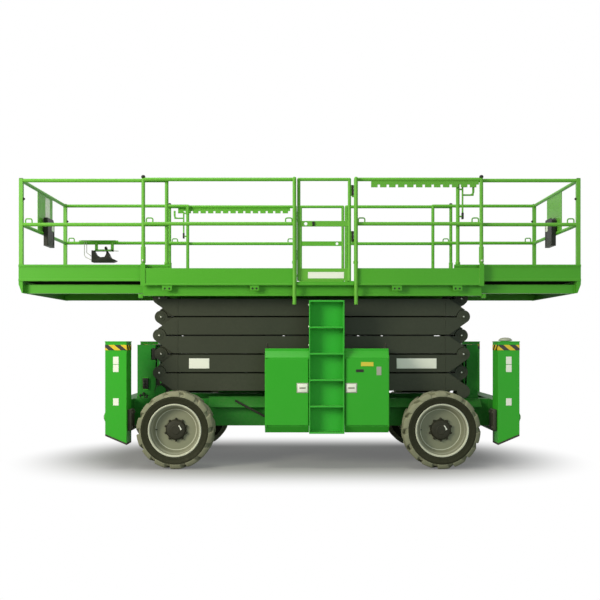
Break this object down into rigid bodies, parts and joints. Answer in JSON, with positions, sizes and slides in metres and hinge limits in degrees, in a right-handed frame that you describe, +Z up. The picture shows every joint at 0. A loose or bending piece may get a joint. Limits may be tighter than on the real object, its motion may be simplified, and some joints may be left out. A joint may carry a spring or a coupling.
{
  "type": "rough-terrain scissor lift",
  "caption": "Self-propelled scissor lift on rubber wheels with jack legs, a folded black scissor stack and a railed green platform with sliding end extensions.",
  "frame": {"origin": "middle of the bounding box on the floor under the wheels", "axes": "+X to the rear of the machine along its length, +Y to the far side of the picture, +Z up"},
  "size_m": [6.1, 2.28, 3.126],
  "materials": {
    "body_green": "glossy bright green paint",
    "platform_green": "glossy light green paint",
    "rail_green": "satin light green paint",
    "arm_black": "satin black paint",
    "dark_metal": "black paint",
    "rod_steel": "hard chrome",
    "rim_grey": "satin grey-white paint",
    "tyre": "matte rubber with dust",
    "black_plastic": "matte black"
  },
  "bodies": {
    "chassis": {"chassis_frame": "body_green", "end_towers": "body_green", "axle_front": "dark_metal", "axle_rear": "dark_metal", "jack_housings_front": "body_green", "jack_housings_rear": "body_green", "cabinets_near": "body_green", "cabinets_far": "body_green", "ladders": "body_green", "battery_blocks": "dark_metal"},
    "rising_1": {"arms_rising_1": "arm_black"},
    "falling_1": {"arms_falling_1": "arm_black"},
    "rising_2": {"arms_rising_2": "arm_black"},
    "falling_2": {"arms_falling_2": "arm_black"},
    "rising_3": {"arms_rising_3": "arm_black"},
    "falling_3": {"arms_falling_3": "arm_black"},
    "rising_4": {"arms_rising_4": "arm_black"},
    "falling_4": {"arms_falling_4": "arm_black"},
    "rising_5": {"arms_rising_5": "arm_black"},
    "falling_5": {"arms_falling_5": "arm_black"},
    "lift_barrels": {"lift_barrels": "dark_metal"},
    "lift_rods": {"lift_rods": "rod_steel"},
    "platform": {"main_deck": "platform_green", "main_rails_near": "rail_green", "main_rails_far": "rail_green"},
    "extension_front": {"extension_deck_front": "platform_green", "extension_rails_front": "rail_green", "document_box_front": "black_plastic", "platform_control": "black_plastic"},
    "extension_rear": {"extension_deck_rear": "platform_green", "extension_rails_rear": "rail_green", "document_box_rear": "black_plastic"},
    "gate_near": {"gate_near": "rail_green"},
    "gate_far": {"gate_far": "rail_green"},
    "door_front_near": {"door_front_near": "body_green"},
    "jack_front_near": {"jack_leg_front_near": "dark_metal"},
    "door_rear_near": {"door_rear_near": "body_green"},
    "jack_rear_near": {"jack_leg_rear_near": "dark_metal"},
    "door_front_far": {"door_front_far": "body_green"},
    "jack_front_far": {"jack_leg_front_far": "dark_metal"},
    "door_rear_far": {"door_rear_far": "body_green"},
    "jack_rear_far": {"jack_leg_rear_far": "dark_metal"},
    "knuckle_near": {"knuckle_near": "dark_metal"},
    "knuckle_far": {"knuckle_far": "dark_metal"},
    "wheel_front_near": {"tyre_front_near": "tyre", "rim_front_near": "rim_grey"},
    "wheel_rear_near": {"tyre_rear_near": "tyre", "rim_rear_near": "rim_grey"},
    "wheel_front_far": {"tyre_front_far": "tyre", "rim_front_far": "rim_grey"},
    "wheel_rear_far": {"tyre_rear_far": "tyre", "rim_rear_far": "rim_grey"}
  },
  "joints": [
    {"name": "lift", "type": "hinge", "parent": "chassis", "child": "rising_1", "pos_m": [-1.562, 0, 0.8], "axis": [0, -1, 0], "range_deg": [0, 58.5]},
    {"name": "fold_falling_1", "type": "hinge", "parent": "rising_1", "child": "falling_1", "pos_m": [0.13, 0, 0.904], "axis": [0, 1, 0], "range_deg": [0, 117]},
    {"name": "fold_rising_2", "type": "hinge", "parent": "falling_1", "child": "rising_2", "pos_m": [-1.562, 0, 1.008], "axis": [0, -1, 0], "range_deg": [0, 117]},
    {"name": "fold_falling_2", "type": "hinge", "parent": "rising_2", "child": "falling_2", "pos_m": [0.13, 0, 1.112], "axis": [0, 1, 0], "range_deg": [0, 117]},
    {"name": "fold_rising_3", "type": "hinge", "parent": "falling_2", "child": "rising_3", "pos_m": [-1.562, 0, 1.216], "axis": [0, -1, 0], "range_deg": [0, 117]},
    {"name": "fold_falling_3", "type": "hinge", "parent": "rising_3", "child": "falling_3", "pos_m": [0.13, 0, 1.32], "axis": [0, 1, 0], "range_deg": [0, 117]},
    {"name": "fold_rising_4", "type": "hinge", "parent": "falling_3", "child": "rising_4", "pos_m": [-1.562, 0, 1.424], "axis": [0, -1, 0], "range_deg": [0, 117]},
    {"name": "fold_falling_4", "type": "hinge", "parent": "rising_4", "child": "falling_4", "pos_m": [0.13, 0, 1.528], "axis": [0, 1, 0], "range_deg": [0, 117]},
    {"name": "fold_rising_5", "type": "hinge", "parent": "falling_4", "child": "rising_5", "pos_m": [-1.562, 0, 1.632], "axis": [0, -1, 0], "range_deg": [0, 117]},
    {"name": "fold_falling_5", "type": "hinge", "parent": "rising_5", "child": "falling_5", "pos_m": [0.13, 0, 1.736], "axis": [0, 1, 0], "range_deg": [0, 117]},
    {"name": "barrel_swing", "type": "hinge", "parent": "rising_1", "child": "lift_barrels", "pos_m": [1.1452, 0, 0.9664], "axis": [0, 1, 0], "range_deg": [0, 123.74]},
    {"name": "rod_slide", "type": "slide", "parent": "lift_barrels", "child": "lift_rods", "axis": [-0.9958, 0, 0.0918], "range_m": [0, 1.0934]},
    {"name": "platform_level", "type": "hinge", "parent": "falling_5", "child": "platform", "pos_m": [-1.562, 0, 1.84], "axis": [0, -1, 0], "range_deg": [0, 58.5]},
    {"name": "extension_slide_front", "type": "slide", "parent": "platform", "child": "extension_front", "axis": [1, 0, 0], "range_m": [0, 1.283]},
    {"name": "extension_slide_rear", "type": "slide", "parent": "platform", "child": "extension_rear", "axis": [-1, 0, 0], "range_m": [0, 1.011]},
    {"name": "gate_swing_near", "type": "hinge", "parent": "platform", "child": "gate_near", "pos_m": [0.571, -0.942, 2.5], "axis": [0, 0, -1], "range_deg": [0, 90]},
    {"name": "gate_swing_far", "type": "hinge", "parent": "platform", "child": "gate_far", "pos_m": [-0.023, 0.942, 2.5], "axis": [0, 0, -1], "range_deg": [0, 90]},
    {"name": "door_swing_front_near", "type": "hinge", "parent": "chassis", "child": "door_front_near", "pos_m": [-0.364, -1.04335, 0.8], "axis": [0, 0, -1], "range_deg": [0, 110]},
    {"name": "jack_slide_front_near", "type": "slide", "parent": "chassis", "child": "jack_front_near", "axis": [0, 0, -1], "range_m": [0, 0.4]},
    {"name": "door_swing_rear_near", "type": "hinge", "parent": "chassis", "child": "door_rear_near", "pos_m": [0.947, -1.04335, 0.8], "axis": [0, 0, 1], "range_deg": [0, 110]},
    {"name": "jack_slide_rear_near", "type": "slide", "parent": "chassis", "child": "jack_rear_near", "axis": [0, 0, -1], "range_m": [0, 0.4]},
    {"name": "door_swing_front_far", "type": "hinge", "parent": "chassis", "child": "door_front_far", "pos_m": [-0.364, 1.04335, 0.8], "axis": [0, 0, 1], "range_deg": [0, 110]},
    {"name": "jack_slide_front_far", "type": "slide", "parent": "chassis", "child": "jack_front_far", "axis": [0, 0, -1], "range_m": [0, 0.4]},
    {"name": "door_swing_rear_far", "type": "hinge", "parent": "chassis", "child": "door_rear_far", "pos_m": [0.947, 1.04335, 0.8], "axis": [0, 0, -1], "range_deg": [0, 110]},
    {"name": "jack_slide_rear_far", "type": "slide", "parent": "chassis", "child": "jack_rear_far", "axis": [0, 0, -1], "range_m": [0, 0.4]},
    {"name": "steer_near", "type": "hinge", "parent": "chassis", "child": "knuckle_near", "pos_m": [-1.325, -0.8875, 0.412], "axis": [0, 0, 1], "range_deg": [-30, 30]},
    {"name": "steer_far", "type": "hinge", "parent": "chassis", "child": "knuckle_far", "pos_m": [-1.325, 0.8875, 0.412], "axis": [0, 0, 1], "range_deg": [-30, 30]},
    {"name": "spin_front_near", "type": "hinge", "parent": "knuckle_near", "child": "wheel_front_near", "pos_m": [-1.325, -0.9875, 0.412], "axis": [0, 1, 0], "continuous": true},
    {"name": "spin_rear_near", "type": "hinge", "parent": "chassis", "child": "wheel_rear_near", "pos_m": [1.509, -0.9875, 0.412], "axis": [0, 1, 0], "continuous": true},
    {"name": "spin_front_far", "type": "hinge", "parent": "knuckle_far", "child": "wheel_front_far", "pos_m": [-1.325, 0.9875, 0.412], "axis": [0, 1, 0], "continuous": true},
    {"name": "spin_rear_far", "type": "hinge", "parent": "chassis", "child": "wheel_rear_far", "pos_m": [1.509, 0.9875, 0.412], "axis": [0, 1, 0], "continuous": true}
  ],
  "couplings": [
    {"joint": "fold_falling_1", "follows": "lift", "ratio": 2},
    {"joint": "fold_rising_2", "follows": "lift", "ratio": 2},
    {"joint": "fold_falling_2", "follows": "lift", "ratio": 2},
    {"joint": "fold_rising_3", "follows": "lift", "ratio": 2},
    {"joint": "fold_falling_3", "follows": "lift", "ratio": 2},
    {"joint": "fold_rising_4", "follows": "lift", "ratio": 2},
    {"joint": "fold_falling_4", "follows": "lift", "ratio": 2},
    {"joint": "fold_rising_5", "follows": "lift", "ratio": 2},
    {"joint": "fold_falling_5", "follows": "lift", "ratio": 2},
    {"joint": "barrel_swing", "follows": "lift", "ratio": 2.115},
    {"joint": "rod_slide", "follows": "lift", "m_per_rad": 1.0704},
    {"joint": "platform_level", "follows": "lift", "ratio": 1},
    {"joint": "steer_far", "follows": "steer_near", "ratio": 1}
  ]
}
